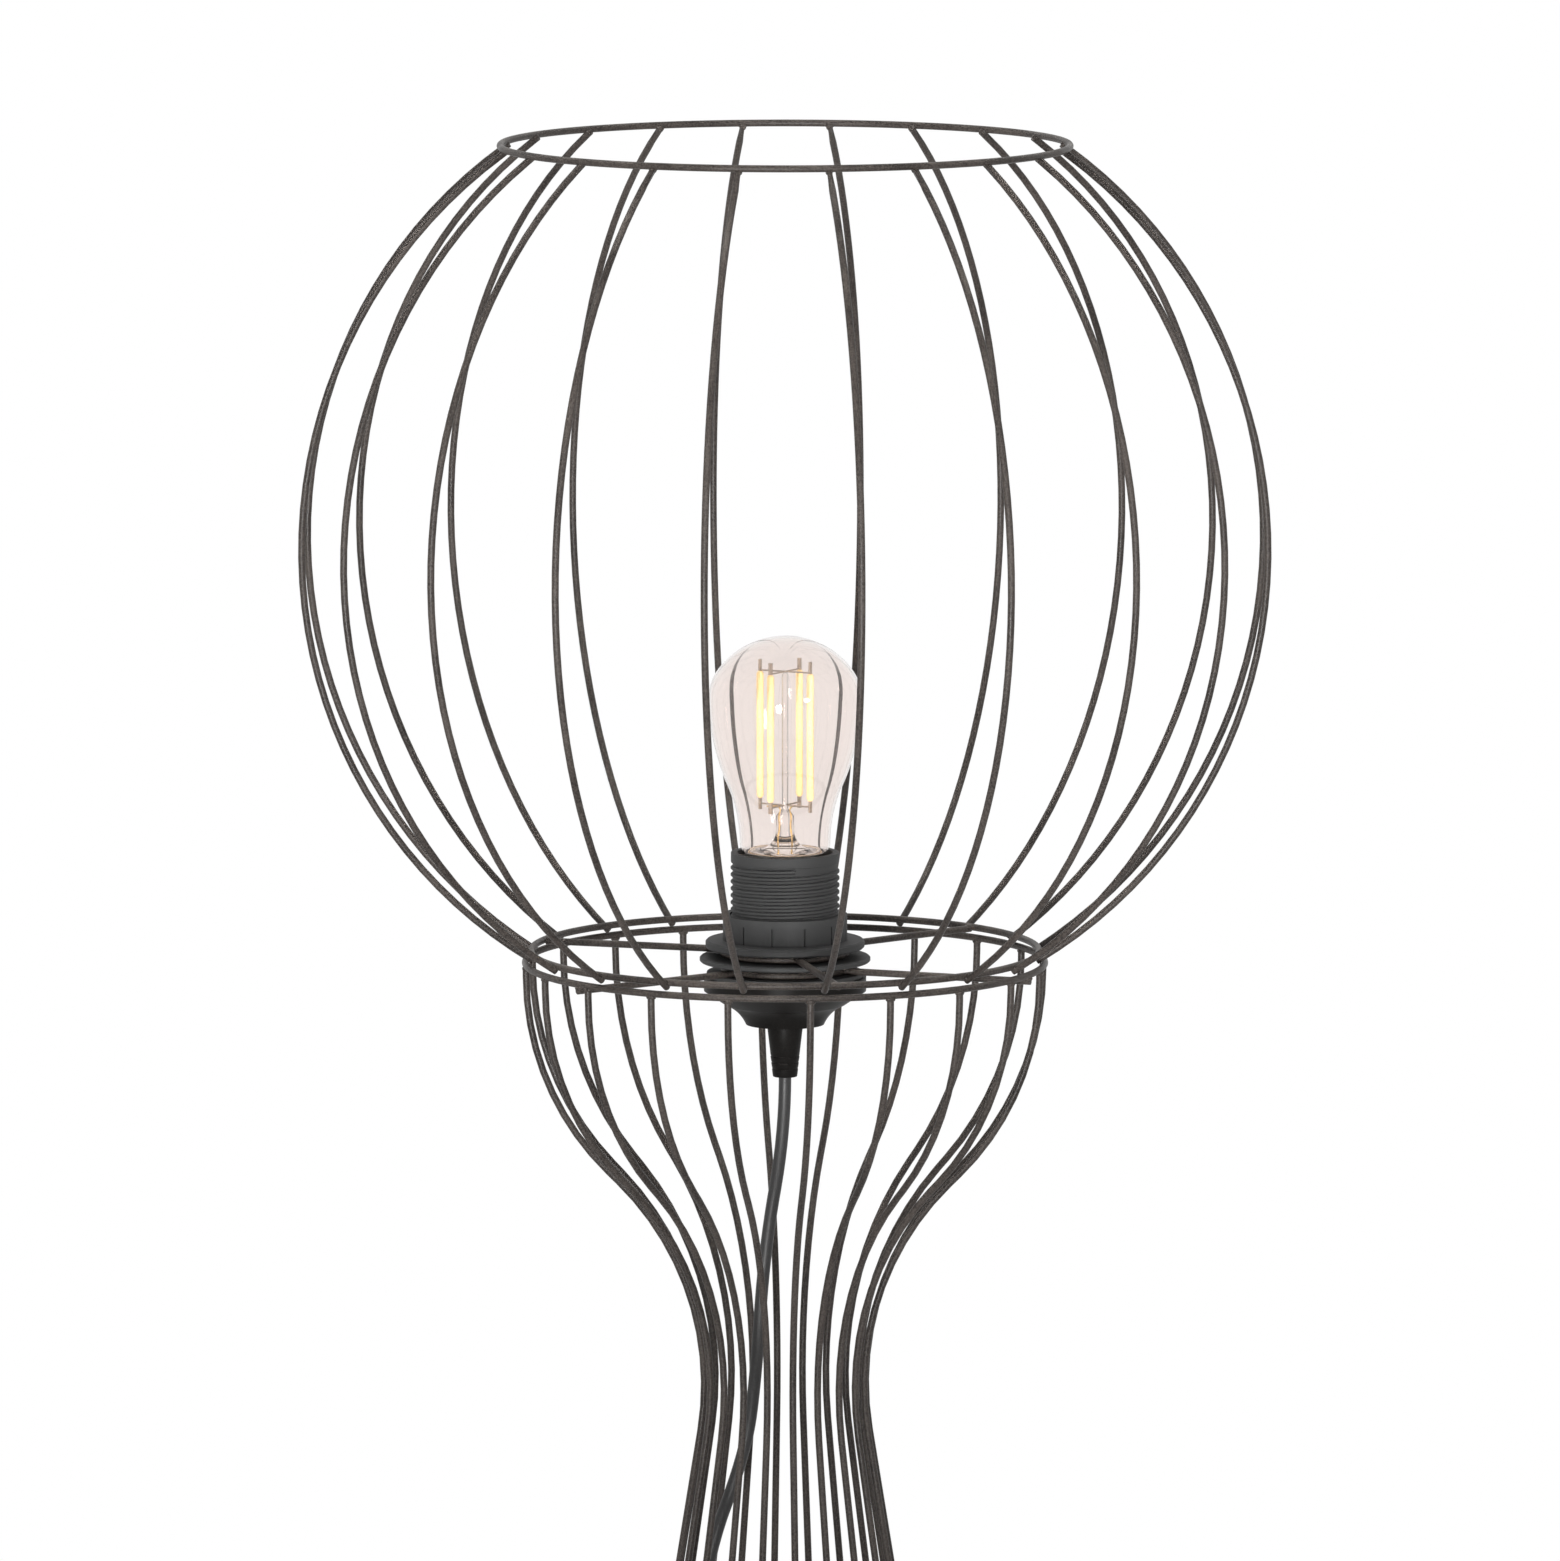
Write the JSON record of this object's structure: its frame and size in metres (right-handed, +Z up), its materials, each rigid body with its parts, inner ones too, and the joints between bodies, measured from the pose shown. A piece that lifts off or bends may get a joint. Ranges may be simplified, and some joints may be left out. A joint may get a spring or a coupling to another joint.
{
  "type": "floor lamp",
  "caption": "Floor lamp of bent black wire: an open globe shade over a waisted, flared base, with a threaded lampholder, bulb, foot switch and plug.",
  "frame": {"origin": "centre of the base on the floor, under the lamp's axis", "axes": "+Z up along the lamp's axis, front towards -Y"},
  "size_m": [0.3835, 0.443, 1.35],
  "materials": {
    "wire_coat": "dark grey-black powder coat with a fine grain",
    "glide": "moulded, fine grain",
    "holder_plastic": "moulded black plastic with a satin face",
    "core_insulator": "moulded insulating plastic",
    "brass": "pressed brass",
    "steel": "plated steel",
    "conductor_cover": "smooth insulation",
    "rubber": "smooth black sheath with a soft sheen",
    "bulb_glass": "clear blown glass, lightly warm",
    "stem_glass": "clear pressed glass",
    "bulb_metal": "nickel-plated sheet",
    "filament": "pale yellow phosphor coat",
    "board": "pale circuit board",
    "switch_plastic": "moulded black plastic",
    "tie": "woven hook-and-loop band"
  },
  "bodies": {
    "lamp": {"shade_top_hoop": "wire_coat", "shade_ribs": "wire_coat", "shade_neck_hoop": "wire_coat", "shade_spokes": "wire_coat", "shade_hub_hoop": "wire_coat", "base_top_hoop": "wire_coat", "base_ribs": "wire_coat", "base_spokes": "wire_coat", "base_hub_hoop": "wire_coat", "floor_hoop": "wire_coat", "floor_glides": "glide", "holder_sleeve": "holder_plastic", "holder_cap": "holder_plastic", "holder_core": "core_insulator", "screw_shell": "brass", "centre_contact": "brass", "terminals": "brass", "terminal_screws": "steel", "conductors": "conductor_cover", "cord_grip": "rubber", "switch_base": "switch_plastic", "switch_cover": "switch_plastic", "switch_contacts": "brass", "switch_spring": "steel", "switch_screws": "steel", "switch_reliefs": "rubber", "plug_body": "switch_plastic", "plug_pins": "steel", "plug_relief": "rubber", "cord_drop": "rubber", "cord_lead": "rubber", "cord_coil": "rubber", "cord_tail": "rubber", "coil_tie": "tie"},
    "upper_nut": {"upper_ring_nut": "holder_plastic"},
    "lower_nut": {"lower_ring_nut": "holder_plastic"},
    "bulb_carriage": {"bulb_cap_insulator": "core_insulator", "bulb_tip_contact": "bulb_metal"},
    "bulb": {"bulb_glass": "bulb_glass", "bulb_cap": "bulb_metal", "bulb_stem": "stem_glass", "bulb_filaments": "filament", "filament_tabs": "steel", "filament_supports": "steel", "bulb_driver": "board"},
    "button": {"switch_button": "switch_plastic", "switch_bridge": "brass"}
  },
  "joints": [
    {"name": "upper_nut_turn", "type": "hinge", "parent": "lamp", "child": "upper_nut", "pos_m": [0, 0, 1.0678], "axis": [0, 0, 1], "range_deg": [0, 3240]},
    {"name": "lower_nut_turn", "type": "hinge", "parent": "lamp", "child": "lower_nut", "pos_m": [0, 0, 1.0572], "axis": [0, 0, 1], "range_deg": [0, 1800]},
    {"name": "bulb_rise", "type": "slide", "parent": "lamp", "child": "bulb_carriage", "axis": [0, 0, 1], "range_m": [0, 0.01632]},
    {"name": "bulb_turn", "type": "hinge", "parent": "bulb_carriage", "child": "bulb", "pos_m": [0, 0, 1.1], "axis": [0, 0, 1], "range_deg": [0, 1620]},
    {"name": "button_press", "type": "slide", "parent": "lamp", "child": "button", "axis": [0, 0, -1], "range_m": [0, 0.004], "stiffness_N_per_m": 500, "springref_m": -0.003, "deforming": ["switch_spring"]}
  ],
  "couplings": [
    {"joint": "bulb_turn", "follows": "bulb_rise", "rad_per_m": 1731.6}
  ]
}
